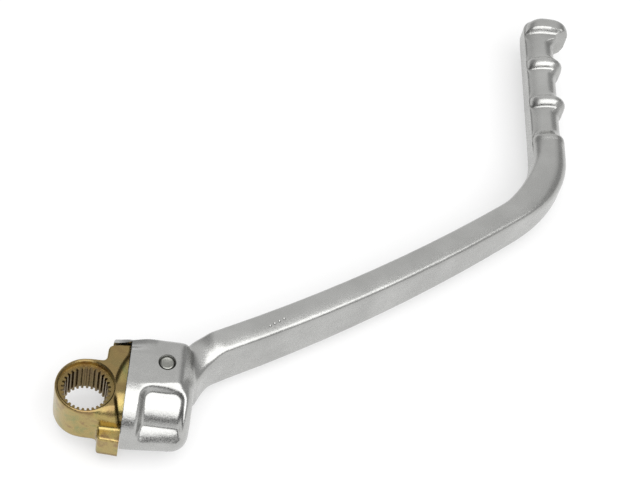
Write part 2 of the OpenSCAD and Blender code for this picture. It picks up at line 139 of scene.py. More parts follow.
def solid_copy(node: bpy.types.Object, name: str) -> bpy.types.Object:
    """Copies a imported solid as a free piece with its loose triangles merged.

    Args:
        node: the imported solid.
        name: the copy's name.

    Returns:
        The copy, at the origin and with no parent.
    """
    select_only(node)
    bpy.ops.object.duplicate()
    copy = just_added(name)
    copy.data.name = name
    copy.parent = None
    copy.data.materials.clear()
    for key in list(copy.keys()):
        del copy[key]
    tidy_mesh(copy, outwards=False)
    return copy


def rod(
    name: str, radius: float, start: Point3, length: float, along: Along, sides: int = 96
) -> bpy.types.Object:
    """Makes a plain round bar.

    Args:
        name: the bar's name.
        radius: its radius in millimetres.
        start: the middle of its first end in millimetres.
        length: its length in millimetres.
        along: the axis that it runs along.
        sides: how many sides its round has.

    Returns:
        The bar.
    """
    middle = Vector(start) + axis_vector(along) * (length / 2)
    bpy.ops.mesh.primitive_cylinder_add(
        vertices=sides, radius=radius * MM, depth=length * MM, location=middle * MM, rotation=along.value
    )
    return place_in_mesh(just_added(name))


def axis_vector(along: Along) -> Vector:
    """Gives the unit vector of an axis."""
    return {Along.X: Vector((1, 0, 0)), Along.Y: Vector((0, 1, 0)), Along.Z: Vector((0, 0, 1))}[along]


def block(name: str, low: Point3, high: Point3) -> bpy.types.Object:
    """Makes a plain block between two corners.

    Args:
        name: the block's name.
        low: its lowest corner in millimetres.
        high: its highest corner in millimetres.

    Returns:
        The block.
    """
    middle = (Vector(low) + Vector(high)) / 2
    size = Vector(high) - Vector(low)
    bpy.ops.mesh.primitive_cube_add(size=1, location=middle * MM, scale=size * MM)
    return place_in_mesh(just_added(name))


def prism(name: str, outline: Sequence[Point2], start: float, end: float, along: Along) -> bpy.types.Object:
    """Extrudes an outline along X or Z.

    Args:
        name: the prism's name.
        outline: its corners in millimetres, as (y, z) along X and as (x, y) along Z.
        start: where it begins on that axis.
        end: where it ends on that axis.
        along: the axis that it runs along.

    Returns:
        The prism.
    """
    bpy.ops.mesh.primitive_circle_add(vertices=len(outline), radius=MM, fill_type="NGON")
    made = just_added(name)
    for vertex, (a, b) in zip(made.data.vertices, outline):
        vertex.co = Vector((start, a, b) if along is Along.X else (a, b, start)) * MM
    bpy.ops.object.mode_set(mode="EDIT")
    bpy.ops.mesh.select_all(action="SELECT")
    move = axis_vector(along) * (end - start) * MM
    bpy.ops.mesh.extrude_region_move(TRANSFORM_OT_translate={"value": move})
    bpy.ops.mesh.select_all(action="SELECT")
    bpy.ops.mesh.normals_make_consistent(inside=False)
    bpy.ops.object.mode_set(mode="OBJECT")
    return made


def lathe(
    name: str, profile: Sequence[Point2], centre: Point3 = (0, 0, 0), along: Along = Along.Z, steps: int = 96
) -> bpy.types.Object:
    """Turns a closed profile about an axis.

    Args:
        name: the piece's name.
        profile: (radius, distance along the axis) in millimetres, from the axis back to the axis.
        centre: the point that the distances are counted from.
        along: the axis that it turns about.
        steps: how many steps the round has.

    Returns:
        The turned piece.
    """
    bpy.ops.mesh.primitive_circle_add(vertices=len(profile), radius=MM)
    made = just_added(name)
    for vertex, (radius, distance) in zip(made.data.vertices, profile):
        vertex.co = Vector((radius, 0, distance)) * MM
    bpy.ops.object.mode_set(mode="EDIT")
    bpy.ops.mesh.select_all(action="SELECT")
    bpy.ops.mesh.spin(steps=steps, angle=math.tau, center=(0, 0, 0), axis=(0, 0, 1))
    bpy.ops.object.mode_set(mode="OBJECT")
    tidy_mesh(made)
    made.rotation_euler = along.value
    made.location = Vector(centre) * MM
    return place_in_mesh(made)


def join(whole: bpy.types.Object, *others: bpy.types.Object) -> bpy.types.Object:
    """Joins objects into the first one.

    Args:
        whole: the object that stays.
        others: the objects that go into it.

    Returns:
        The joined object.
    """
    select_only(whole, *others)
    bpy.ops.object.join()
    return whole


def machine(piece: bpy.types.Object, cutter: bpy.types.Object) -> None:
    """Cuts the cutter's closed form out of a piece, and takes the cutter away."""
    apply_modifier(piece, "BOOLEAN", operation="DIFFERENCE", solver="MANIFOLD", object=cutter)
    bpy.data.objects.remove(cutter)


def forge_skin(piece: bpy.types.Object, voxel_mm: float, passes: int, factor: float = 0.5) -> None:
    """Gives joined forms one skin with the soft fillets of a forging.

    Args:
        piece: the joined forms.
        voxel_mm: the skin's face size.
        passes: how often it is smoothed, so how wide the fillets are.
        factor: how far each pass moves the skin.
    """
    apply_modifier(piece, "REMESH", mode="VOXEL", voxel_size=voxel_mm * MM, adaptivity=0.0)
    apply_modifier(piece, "SMOOTH", factor=factor, iterations=passes)


def smooth_step(value: float) -> float:
    """Eases a share from zero to one, level at both ends."""
    share = max(0.0, min(1.0, value))
    return share * share * (3 - 2 * share)


def arc_points(
    middle: Point2, radius: float, start_deg: float, end_deg: float, count: int = 10
) -> list[Point2]:
    """Gives points of an arc.

    Args:
        middle: its centre.
        radius: its radius.
        start_deg: the angle of its first point.
        end_deg: the angle of its last point.
        count: how many steps it has.

    Returns:
        The points, first to last.
    """
    turns = [math.radians(start_deg + (end_deg - start_deg) * i / count) for i in range(count + 1)]
    return [(middle[0] + radius * math.cos(a), middle[1] + radius * math.sin(a)) for a in turns]


@dataclass(frozen=True)
class SoftZone:
    """A ball-shaped part of a forging whose fillets are wider than elsewhere."""

    centre: Point3
    radius: float
    passes: int
    fade: float = 6.0

    def soften(self, piece: bpy.types.Object) -> None:
        """Smooths the skin inside the zone, fading out over its border.

        Args:
            piece: the forging.
        """
        group = piece.vertex_groups.new(name="soft_zone")
        middle = Vector(self.centre) * MM
        levels: dict[int, list[int]] = {}
        for vertex in piece.data.vertices:
            share = (self.radius - (vertex.co - middle).length / MM) / self.fade
            level = round(10 * min(1.0, share))
            if level > 0:
                levels.setdefault(level, []).append(vertex.index)
        for level, members in levels.items():
            group.add(members, level / 10, "REPLACE")
        apply_modifier(piece, "SMOOTH", factor=0.5, iterations=self.passes, vertex_group=group.name)
        piece.vertex_groups.clear()


@dataclass(frozen=True)
class PressedPocket:
    """Shallow pocket that the die presses into the hub's round front.

    Its floor is a round about the fold axis, deepest near its lower end, where one broad slope
    leads out. Its rim is a rounded rectangle, seen unrolled.
    """

    middle_deg: float = 135.0
    half_span: float = 14.6
    left_x: float = 22.0
    right_x: float = 42.0
    floor_r: float = 15.4
    rim_r: float = 19.2
    corner: float = 5.6
    wall: float = 2.8
    low_wall: float = 8.2
    low_extra: float = 0.7
    low_from_deg: float = 116.0
    low_over_deg: float = 40.0

    def depth_share(self, x: float, turn: float) -> float:
        """Gives how far down towards the floor the pocket lies at one place.

        Args:
            x: the place along the fold axis in millimetres.
            turn: its angle about the fold axis in radians, from +Y.

        Returns:
            Zero outside the pocket and one on its floor.
        """
        along = abs(x - (self.left_x + self.right_x) / 2) - (self.right_x - self.left_x) / 2 + self.corner
        around = abs(turn - math.radians(self.middle_deg)) * self.rim_r - self.half_span + self.corner
        outside = math.hypot(max(along, 0.0), max(around, 0.0)) + min(max(along, around), 0.0) - self.corner
        from_low_end = self.half_span - (turn - math.radians(self.middle_deg)) * self.rim_r
        return min(smooth_step(-outside / self.wall), max(0.0, from_low_end / self.low_wall))

    def press(self, piece: bpy.types.Object) -> None:
        """Presses the pocket into the hub.

        Args:
            piece: the forging, with a plain round front.
        """
        for vertex in piece.data.vertices:
            x, y, z = vertex.co / MM
            radius = math.hypot(y, z)
            if radius > self.floor_r and self.left_x < x < self.right_x:
                turn = math.atan2(z, y)
                turn = turn if turn > 0 else turn + math.tau
                deeper = smooth_step((math.degrees(turn) - self.low_from_deg) / self.low_over_deg)
                floor = self.floor_r - self.low_extra * deeper
                lower = (floor - radius) * self.depth_share(x, turn) / radius
                vertex.co += Vector((0.0, y, z)) * lower * MM


@dataclass(frozen=True)
class LowTongue:
    """Top of the stop tongue: level with the knuckle's lug, and rising into the hub's top."""

    line: tuple[Point2, ...] = (
        (8.0, 10.0), (11.0, 10.3), (13.6, 11.2), (17.3, 13.5), (22.2, 15.8), (27.0, 17.8), (33.0, 19.2)
    )
    high_z: float = 19.2
    start_y: float = 13.5
    fall_y: float = 7.5

    def top_at(self, x: float) -> float:
        """Gives the height of the tongue's back edge.

        Args:
            x: the place along the fold axis in millimetres.

        Returns:
            The height in millimetres.
        """
        for (x0, z0), (x1, z1) in zip(self.line, self.line[1:]):
            if x < x1:
                return z0 + (z1 - z0) * max(0.0, x - x0) / (x1 - x0)
        return self.high_z

    def lower(self, piece: bpy.types.Object) -> None:
        """Presses the forging's top down to the tongue's height.

        Args:
            piece: the forging.
        """
        for vertex in piece.data.vertices:
            x, y, z = vertex.co / MM
            if x < self.line[-1][0] and y > self.start_y:
                drop = (self.high_z - self.top_at(x)) * smooth_step((y - self.start_y) / self.fall_y)
                vertex.co.z = min(z, self.high_z - drop) * MM


@dataclass(frozen=True)
class GripProfile:
    """Form of the foot grip: an arched bar, two raised rings and a round end flange.

    Places on the grip are counted along it from the end of the bend, and outwards from its middle line.
    """

    start: Point2 = (197.6505, 156.2054)
    heading_deg: float = 92.5
    reach_back: float = 14.0
    reach_out: float = 25.0
    low_out: float = 9.95
    low_up: float = 7.45
    rings_from: float = 18.5
    rings: tuple[float, ...] = (33.2, 57.2)
    ring_half: float = 3.7
    ring_wall: float = 1.9
    ring_rise: float = 3.1
    flange_from: float = 76.4
    flange_wall: float = 2.3
    flange_out: float = 7.3
    lip_at: float = 10.2
    lip_half: float = 2.8
    lip_rise: float = 0.55
    arch_drop: float = 3.3
    arch_from: float = 4.6
    arch_width: float = 9.8
    arch_start: float = -12.0
    arch_fade: float = 24.0

    def press(self, piece: bpy.types.Object) -> None:
        """Presses the forging's grip to its final form.

        Args:
            piece: the forging.
        """
        turn = math.radians(self.heading_deg)
        ahead = Vector((math.cos(turn), math.sin(turn)))
        outward = Vector((ahead.y, -ahead.x))
        for vertex in piece.data.vertices:
            place = Vector((vertex.co.x / MM - self.start[0], vertex.co.y / MM - self.start[1]))
            along, out = place.dot(ahead), place.dot(outward)
            if along < -self.reach_back or abs(out) > self.reach_out:
                continue
            z = vertex.co.z / MM
            if along > self.rings_from:
                off_ring = min(abs(along - middle) for middle in self.rings)
                ring = smooth_step((self.ring_half - off_ring) / self.ring_wall)
                flange = smooth_step((along - self.flange_from) / self.flange_wall)
                rise = self.ring_rise * max(ring, flange)
                z = math.copysign(min(abs(z), self.low_up + rise), z)
                most = self.low_out + max(self.ring_rise * ring, self.flange_out * flange)
                if out > most:
                    vertex.co.x += (most - out) * outward.x * MM
                    vertex.co.y += (most - out) * outward.y * MM
            inner = max(0.0, (self.arch_from - out) / self.arch_width)
            tall = min(1.0, abs(z) / self.low_up) ** 4
            lip = self.lip_rise * smooth_step(1 - abs(along - self.lip_at) / self.lip_half)
            fade = smooth_step((along - self.arch_start) / self.arch_fade)
            arch = self.arch_drop * min(1.0, inner) ** 2 * fade
            z += (lip - arch) * tall * (1 if z > 0 else -1)
            vertex.co.z = z * MM


def shade(piece: bpy.types.Object, crease_deg: float) -> None:
    """Shades a piece smooth, but keeps edges sharp that turn more than the crease angle."""
    select_only(piece)
    bpy.ops.object.shade_smooth_by_angle(angle=math.radians(crease_deg))


def linear(hex_code: str) -> tuple[float, float, float, float]:
    """Turns an sRGB hex colour into Blender's linear values.

    Args:
        hex_code: six hex digits after a hash.

    Returns:
        Red, green, blue and alpha.
    """
    parts = [int(hex_code[i : i + 2], 16) / 255 for i in (1, 3, 5)]
    curve = [c / 12.92 if c <= 0.04045 else ((c + 0.055) / 1.055) ** 2.4 for c in parts]
    return (curve[0], curve[1], curve[2], 1.0)


def per_metre(size_mm: float) -> float:
    """Gives the texture scale of a pattern whose cells are this many millimetres."""
    return 1.0 / (size_mm * MM)


def add_node(
    tree: bpy.types.NodeTree,
    kind: str,
    values: Optional[dict] = None,
    links: Optional[dict] = None,
    **settings: Any,
) -> bpy.types.Node:
    """Adds one shader node with its settings, values and links.

    Args:
        tree: the node tree.
        kind: the node's type.
        values: plain values by input name or number.
        links: output sockets by input name or number.
        settings: the node's own settings by name.

    Returns:
        The new node.
    """
    node = tree.nodes.new(kind)
    for name, value in settings.items():
        setattr(node, name, value)
    for name, value in (values or {}).items():
        node.inputs[name].default_value = value
    for name, socket in (links or {}).items():
        tree.links.new(socket, node.inputs[name])
    return node


def ramp_stops(node: bpy.types.Node, stops: Sequence[tuple[float, tuple]]) -> None:
    """Sets a colour ramp's stops.

    Args:
        node: the ramp.
        stops: position and colour, in order.
    """
    ramp = node.color_ramp
    while len(ramp.elements) < len(stops):
        ramp.elements.new(0.5)
    for element, (position, colour) in zip(ramp.elements, stops):
        element.position = position
        element.color = colour


def grey(value: float) -> tuple[float, float, float, float]:
    """Gives a linear grey as a colour."""
    return (value, value, value, 1.0)


def empty_material(name: str) -> bpy.types.Material:
    """Makes a material with an empty node tree.

    Args:
        name: the material's name.

    Returns:
        The material.
    """
    made = bpy.data.materials.new(name)
    made.use_nodes = True
    made.node_tree.nodes.clear()
    return made


@dataclass(frozen=True)
class ForgedAluminium:
    """Aluminium alloy, hot forged and then fine-blasted and tumbled.

    The blasting leaves a fine even grain that spreads the light softly, so the piece is a satin
    silver with faint waves.
    """

    colour: str = "#B6B6B4"
    dull_colour: str = "#A6A6A4"
    roughness: float = 0.27
    grain_mm: float = 0.75
    wave_mm: float = 9.0
    cloud_mm: float = 26.0

    def build(self) -> bpy.types.Material:
        """Builds the finish.

        Returns:
            The material.
        """
        made = empty_material("forged_aluminium")
        tree = made.node_tree
        place = add_node(tree, "ShaderNodeTexCoord").outputs["Object"]
        # Real blasting grain is about 0.1 mm; it is drawn coarser so that it shows
        noises = ((self.grain_mm, 4.0, 0.6), (self.wave_mm, 2.0, 0.45), (self.cloud_mm, 5.0, 0.6))
        grain, waves, cloud = (
            add_node(
                tree,
                "ShaderNodeTexNoise",
                {"Scale": per_metre(size), "Detail": detail, "Roughness": rough},
                {"Vector": place},
            )
            for size, detail, rough in noises
        )
        tone = add_node(tree, "ShaderNodeValToRGB", links={"Fac": cloud.outputs["Fac"]})
        ramp_stops(tone, [(0.35, linear(self.dull_colour)), (0.68, linear(self.colour))])
        low, high = self.roughness - 0.05, self.roughness + 0.07
        rough = add_node(
            tree,
            "ShaderNodeMapRange",
            {"From Min": 0.3, "From Max": 0.7, "To Min": low, "To Max": high},
            {"Value": grain.outputs["Fac"]},
        )
        bump_wave = add_node(
            tree,
            "ShaderNodeBump",
            {"Strength": 0.12, "Distance": 0.0006},
            {"Height": waves.outputs["Fac"]},
        )
        bump_grain = add_node(
            tree,
            "ShaderNodeBump",
            {"Strength": 0.62, "Distance": 0.00008},
            {"Height": grain.outputs["Fac"], "Normal": bump_wave.outputs["Normal"]},
        )
        shader = add_node(
            tree,
            "ShaderNodeBsdfPrincipled",
            {"Metallic": 1.0},
            {
                "Base Color": tone.outputs["Color"],
                "Roughness": rough.outputs["Result"],
                "Normal": bump_grain.outputs["Normal"],
            },
        )
        add_node(tree, "ShaderNodeOutputMaterial", links={"Surface": shader.outputs["BSDF"]})
        return made


@dataclass(frozen=True)
class YellowZinc:
    """Steel, zinc plated and dipped in yellow chromate.

    The chromate film is thin and uneven, so its gold drifts to olive green and to a brown
    rose from place to place, over a lightly blasted steel that still shines.
    """

    gold: str = "#A8955F"
    olive: str = "#8E8D5C"
    rose: str = "#84694B"
    turned: str = "#84704C"
    # Painted shade: the darker colour of the splined bore and its recess
    bore: str = "#6E5A3A"
    roughness: float = 0.22
    cloud_mm: float = 7.0
    grain_mm: float = 0.6
    face_mm: float = 10.2
    face_drift_mm: float = 1.2
    bore_shade_mm: float = 11.7
    bore_shade_fade_mm: float = 0.3

    def build(self) -> bpy.types.Material:
        """Builds the finish.

        Returns:
            The material.
        """
        made = empty_material("yellow_zinc_steel")
        tree = made.node_tree
        place = add_node(tree, "ShaderNodeTexCoord").outputs["Object"]
        cloud = add_node(
            tree,
            "ShaderNodeTexNoise",
            {"Scale": per_metre(self.cloud_mm), "Detail": 6.0, "Roughness": 0.6, "Distortion": 0.5},
            {"Vector": place},
        )
        # Real blasting grain is about 0.1 mm; it is drawn coarser so that it shows
        grain = add_node(
            tree,
            "ShaderNodeTexNoise",
            {"Scale": per_metre(self.grain_mm), "Detail": 3.0, "Roughness": 0.6},
            {"Vector": place},
        )
        film = add_node(tree, "ShaderNodeValToRGB", links={"Fac": cloud.outputs["Fac"]})
        gold = linear(self.gold)
        ramp_stops(film, [(0.32, linear(self.olive)), (0.47, gold), (0.53, gold), (0.69, linear(self.rose))])
        # The boss's turned end faces take a browner film than its walls
        parts = add_node(tree, "ShaderNodeSeparateXYZ", links={"Vector": place})
        height = add_node(tree, "ShaderNodeMath", links={0: parts.outputs["Z"]}, operation="ABSOLUTE")
        spread = self.face_drift_mm * MM
        drift = add_node(tree, "ShaderNodeMath", {1: spread}, {0: cloud.outputs["Fac"]}, operation="MULTIPLY")
        height = add_node(
            tree, "ShaderNodeMath", links={0: height.outputs[0], 1: drift.outputs[0]}, operation="ADD"
        )
        face = add_node(
            tree,
            "ShaderNodeMapRange",
            {"From Min": self.face_mm * MM, "From Max": self.face_mm * MM + spread, "To Max": 0.8},
            {"Value": height.outputs[0]},
        )
        film = add_node(
            tree,
            "ShaderNodeMixRGB",
            {"Color2": linear(self.turned)},
            {"Fac": face.outputs["Result"], "Color1": film.outputs["Color"]},
        )
        # Painted shade: the colour turns darker inside the splined bore and its recess
        flat = add_node(tree, "ShaderNodeVectorMath", {1: (1.0, 1.0, 0.0)}, {0: place}, operation="MULTIPLY")
        reach = add_node(tree, "ShaderNodeVectorMath", links={0: flat.outputs[0]}, operation="LENGTH")
        wall = self.bore_shade_mm * MM
        bore = add_node(
            tree,
            "ShaderNodeMapRange",
            {"From Min": wall - self.bore_shade_fade_mm * MM, "From Max": wall, "To Min": 0.75, "To Max": 0.0},
            {"Value": reach.outputs["Value"]},
        )
        film = add_node(
            tree,
            "ShaderNodeMixRGB",
            {"Color2": linear(self.bore)},
            {"Fac": bore.outputs["Result"], "Color1": film.outputs["Color"]},
        )
        low, high = self.roughness - 0.06, self.roughness + 0.1
        rough = add_node(
            tree,
            "ShaderNodeMapRange",
            {"From Min": 0.3, "From Max": 0.7, "To Min": low, "To Max": high},
            {"Value": grain.outputs["Fac"]},
        )
        bump = add_node(
            tree, "ShaderNodeBump", {"Strength": 0.5, "Distance": 0.0001}, {"Height": grain.outputs["Fac"]}
        )
        shader = add_node(
            tree,
            "ShaderNodeBsdfPrincipled",
            {"Metallic": 1.0},
            {
                "Base Color": film.outputs["Color"],
                "Roughness": rough.outputs["Result"],
                "Normal": bump.outputs["Normal"],
            },
        )
        add_node(tree, "ShaderNodeOutputMaterial", links={"Surface": shader.outputs["BSDF"]})
        return made


@dataclass(frozen=True)
class GroundSteel:
    """Bearing steel, ground round, with a fine grain."""

    colour: str = "#9A9A95"
    dull_colour: str = "#7C7D78"
    roughness: float = 0.32
    grain_mm: float = 0.6

    def build(self) -> bpy.types.Material:
        """Builds the finish.

        Returns:
            The material.
        """
        made = empty_material("bright_steel")
        tree = made.node_tree
        place = add_node(tree, "ShaderNodeTexCoord").outputs["Object"]
        grain = add_node(
            tree, "ShaderNodeTexNoise", {"Scale": per_metre(self.grain_mm), "Detail": 4.0}, {"Vector": place}
        )
        tone = add_node(tree, "ShaderNodeValToRGB", links={"Fac": grain.outputs["Fac"]})
        ramp_stops(tone, [(0.3, linear(self.dull_colour)), (0.7, linear(self.colour))])
        bump = add_node(
            tree, "ShaderNodeBump", {"Strength": 0.4, "Distance": 0.0001}, {"Height": grain.outputs["Fac"]}
        )
        shader = add_node(
            tree,
            "ShaderNodeBsdfPrincipled",
            {"Metallic": 1.0, "Roughness": self.roughness},
            {"Base Color": tone.outputs["Color"], "Normal": bump.outputs["Normal"]},
        )
        add_node(tree, "ShaderNodeOutputMaterial", links={"Surface": shader.outputs["BSDF"]})
        return made


@dataclass(frozen=True)
class SealRubber:
    """Nitrile rubber, moulded, black and matt with a faint bloom."""

    colour: str = "#1B1B1C"
    bloom_colour: str = "#2A2A2B"
    bloom_mm: float = 1.5
    roughness: float = 0.62

    def build(self) -> bpy.types.Material:
        """Builds the finish.

        Returns:
            The material.
        """
        made = empty_material("seal_rubber")
        tree = made.node_tree
        place = add_node(tree, "ShaderNodeTexCoord").outputs["Object"]
        bloom = add_node(
            tree, "ShaderNodeTexNoise", {"Scale": per_metre(self.bloom_mm), "Detail": 3.0}, {"Vector": place}
        )
        tone = add_node(tree, "ShaderNodeValToRGB", links={"Fac": bloom.outputs["Fac"]})
        ramp_stops(tone, [(0.3, linear(self.colour)), (0.8, linear(self.bloom_colour))])
        shader = add_node(
            tree,
            "ShaderNodeBsdfPrincipled",
            {"Roughness": self.roughness},
            {"Base Color": tone.outputs["Color"]},
        )
        add_node(tree, "ShaderNodeOutputMaterial", links={"Surface": shader.outputs["BSDF"]})
        return made


def dress(piece: bpy.types.Object, finish: bpy.types.Material, slot: str, body: str, *nodes: str) -> None:
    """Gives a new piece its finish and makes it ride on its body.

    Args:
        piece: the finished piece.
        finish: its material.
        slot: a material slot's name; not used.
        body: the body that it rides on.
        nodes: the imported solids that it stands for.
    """
    piece.data.materials.clear()
    piece.data.materials.append(finish)
    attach(piece, body)
    if nodes:
        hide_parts(*nodes)
    log.info("%s: %d triangles", piece.name, sum(len(p.vertices) - 2 for p in piece.data.polygons))


@dataclass
class FoldJoint:
    """Sizes that the arm and the knuckle share at the fold joint."""

    face_x: float = 16.2
    hub_x: float = 16.5
    spigot_r: float = 10.5
    bore_r: float = 10.55
    bore_end_x: float = 38.0
    washer_r: float = 13.1
    washer_seat_x: float = 17.3
    pin_x: float = 31.8
    pin_y: float = 10.6
    pin_r: float = 3.0
    half_h: float = 19.2
    lip_y: float = 22.3
    lip_low: float = -1.5
    stop_y: float = 12.7
    clear_r: float = 17.83
    dimple_x: float = 35.97
    dimple_r: float = 2.56
    dimple_off: float = 4.4
    dimple_turns: Point2 = (135.0, 225.0)


@dataclass
class ForgedArm:
    """Arm, hub and ribbed pedal: one forging whose joint faces are machined."""

    joint: FoldJoint
    node: bpy.types.Object
    voxel_mm: float = 0.6
    passes: int = 12
    zones: tuple[SoftZone, ...] = (
        SoftZone((45.5, 14.0, 0.0), 19.0, 60, 7.0),
        SoftZone((46.5, 19.0, 11.0), 13.0, 70, 6.0),
        SoftZone((13.0, 22.0, 12.0), 10.0, 14, 5.0),
        SoftZone((197.0, 213.0, 0.0), 46.0, 3, 6.0),
    )
    tongue: LowTongue = LowTongue()
    grip: GripProfile = GripProfile()
    pocket: PressedPocket = PressedPocket()
    pocket_zone: SoftZone = SoftZone((32.0, -12.0, 12.0), 20.0, 5)
    draft_x: float = 20.5
    draft_r: float = 18.0
    end_x: float = 44.3
    end_round: float = 7.2
    punch_from: Point2 = (73.6, 38.2)
    punch_step: Point2 = (1.9, 1.5)
    punch_count: int = 4
    punch_cone: tuple[Point2, ...] = ((0.0, -0.35), (0.35, -0.3), (0.95, 0.3), (0.0, 0.3))
    punch_above: float = 50.0
    # Before machining: the filled pocket, and the stock on faces, bore and pin hole
    filling_under: float = 0.03
    filling_core_r: float = 9.0
    filling_arc_deg: float = 80.0
    stock_from: float = 12.5
    face_stock: float = 0.2
    bore_stock: float = 0.3
    bore_end_stock: float = 0.5
    back_stock: float = 1.0
    pin_stock: float = 0.6
    lip_stock_low: Point3 = (8.9, 5.0, -2.0)
    lip_stock_high: Point2 = (24.0, 12.3)
    # Cutters: where they begin, how far they reach, and the pin hole's chamfered mouths
    cut_from: float = 2.0
    cut_reach: float = 30.0
    cut_over: float = 0.6
    pin_mouth: float = 0.75
    pin_mouth_depth: float = 1.1
    pin_flare: float = 1.15
    crease_deg: float = 38.0

    def plain_front(self) -> bpy.types.Object:
        """Fills the solid's pocket up to the round of the hub's front.

        Returns:
            The filling, a turned ring just under the hub's surface.
        """
        under = self.filling_under
        core = self.filling_core_r
        middle = (self.draft_r - self.end_round, self.end_x - self.end_round)
        corner = arc_points(middle, self.end_round - under, 0, self.filling_arc_deg)
        first = (self.joint.half_h - under, self.draft_x)
        profile = [(core, self.draft_x), first, *corner, (core, self.end_x - 2 * under)]
        return lathe("stock_front", profile, along=Along.X)

    def blank(self) -> bpy.types.Object:
        """Makes the forging before machining: no bore, no pin hole, and stock on the joint face.

        Returns:
            The soft forged blank.
        """
        joint = self.joint
        body = solid_copy(self.node, "forged_arm")
        half = joint.half_h
        near, face = self.stock_from, joint.hub_x + self.face_stock
        bore_len = joint.bore_end_x + self.bore_end_stock - near
        pin_foot = (joint.pin_x, joint.pin_y, -half)
        stock = [
            rod("stock_bore", joint.washer_r + self.bore_stock, (near, 0, 0), bore_len, Along.X),
            rod("stock_round", half, (near, 0, 0), face - near, Along.X, 128),
            block("stock_back", (near, 0, -half), (face, joint.stop_y + self.back_stock, half)),
            block("stock_lip", self.lip_stock_low, (face, *self.lip_stock_high)),
            rod("stock_pin", joint.pin_r + self.pin_stock, pin_foot, 2 * half, Along.Z),
            self.plain_front(),
        ]
        join(body, *stock)
        forge_skin(body, self.voxel_mm, self.passes)
        self.tongue.lower(body)
        self.grip.press(body)
        for zone in self.zones:
            zone.soften(body)
        self.pocket.press(body)
        self.pocket_zone.soften(body)
        return body

    def clearance_outline(self) -> list[Point2]:
        """Gives what the joint face's cutter takes away beside the stop tongue.

        Returns:
            Corners as (y, z).
        """
        joint = self.joint
        reach = self.cut_reach
        clear_from = math.degrees(math.asin(joint.lip_low / joint.clear_r))
        clear_to = -math.degrees(math.acos(joint.stop_y / joint.clear_r))
        return [
            (-reach, reach),
            (joint.lip_y, reach),
            (joint.lip_y, joint.lip_low),
            *arc_points((0, 0), joint.clear_r, clear_from, clear_to),
            (joint.stop_y, -reach),
            (-reach, -reach),
        ]

    def punch_cutter(self, arm: bpy.types.Object) -> bpy.types.Object:
        """Makes the cutter of the plain punch marks on the arm's top.

        Args:
            arm: the arm that is marked.

        Returns:
            The cutter.
        """
        marks = []
        for i in range(self.punch_count):
            x = self.punch_from[0] + i * self.punch_step[0]
            y = self.punch_from[1] + i * self.punch_step[1]
            found = arm.ray_cast(Vector((x, y, self.punch_above)) * MM, Vector((0, 0, -1)))
            top = found[1].z / MM
            cone = [(radius, top + rise) for radius, rise in self.punch_cone]
            marks.append(lathe("cut_punch", cone, (x, y, 0), steps=24))
        return join(*marks)

    def dimple_cutter(self) -> bpy.types.Object:
        """Makes the cutter of the two dimples in the bore's floor, where the ball clicks in.

        Returns:
            The cutter.
        """
        joint = self.joint
        balls = []
        for turn in joint.dimple_turns:
            angle = math.radians(turn)
            aside, up = joint.dimple_off * math.cos(angle), joint.dimple_off * math.sin(angle)
            centre = Vector((joint.dimple_x, aside, up))
            bpy.ops.mesh.primitive_uv_sphere_add(
                segments=48, ring_count=24, radius=joint.dimple_r * MM, location=centre * MM
            )
            balls.append(place_in_mesh(just_added("cut_dimple")))
        return join(*balls)

    def pin_cutter(self) -> bpy.types.Object:
        """Makes the cutter of the cross pin's hole, with a chamfer at both mouths.

        Returns:
            The cutter.
        """
        joint = self.joint
        top, over = joint.half_h, joint.half_h + self.cut_over
        upper = [
            (joint.pin_r, top - self.pin_mouth_depth),
            (joint.pin_r + self.pin_mouth, top),
            (joint.pin_r + self.pin_flare, over),
            (0, over),
        ]
        lower = [(radius, -z) for radius, z in reversed(upper)]
        return lathe("cut_pin", [*lower, *upper], (joint.pin_x, joint.pin_y, 0), steps=64)

    def build(self, finish: bpy.types.Material) -> bpy.types.Object:
        """Builds and dresses the arm.

        Args:
            finish: the forged aluminium.

        Returns:
            The finished arm.
        """
        joint = self.joint
        arm = self.blank()
        face_cutter = prism("cut_joint_face", self.clearance_outline(), self.cut_from, joint.hub_x, Along.X)
        machine(arm, face_cutter)
        seat, end = joint.washer_seat_x, joint.bore_end_x
        washer_seat = [(0, 0), (joint.washer_r, 0), (joint.washer_r, seat)]
        bore = [*washer_seat, (joint.bore_r, seat), (joint.bore_r, end), (0, end)]
        machine(arm, lathe("cut_bore", bore, along=Along.X))
        machine(arm, self.dimple_cutter())
        machine(arm, self.pin_cutter())
        machine(arm, self.punch_cutter(arm))
        shade(arm, self.crease_deg)
        dress(arm, finish, "forged_aluminium", "arm", "kick_arm")
        return arm


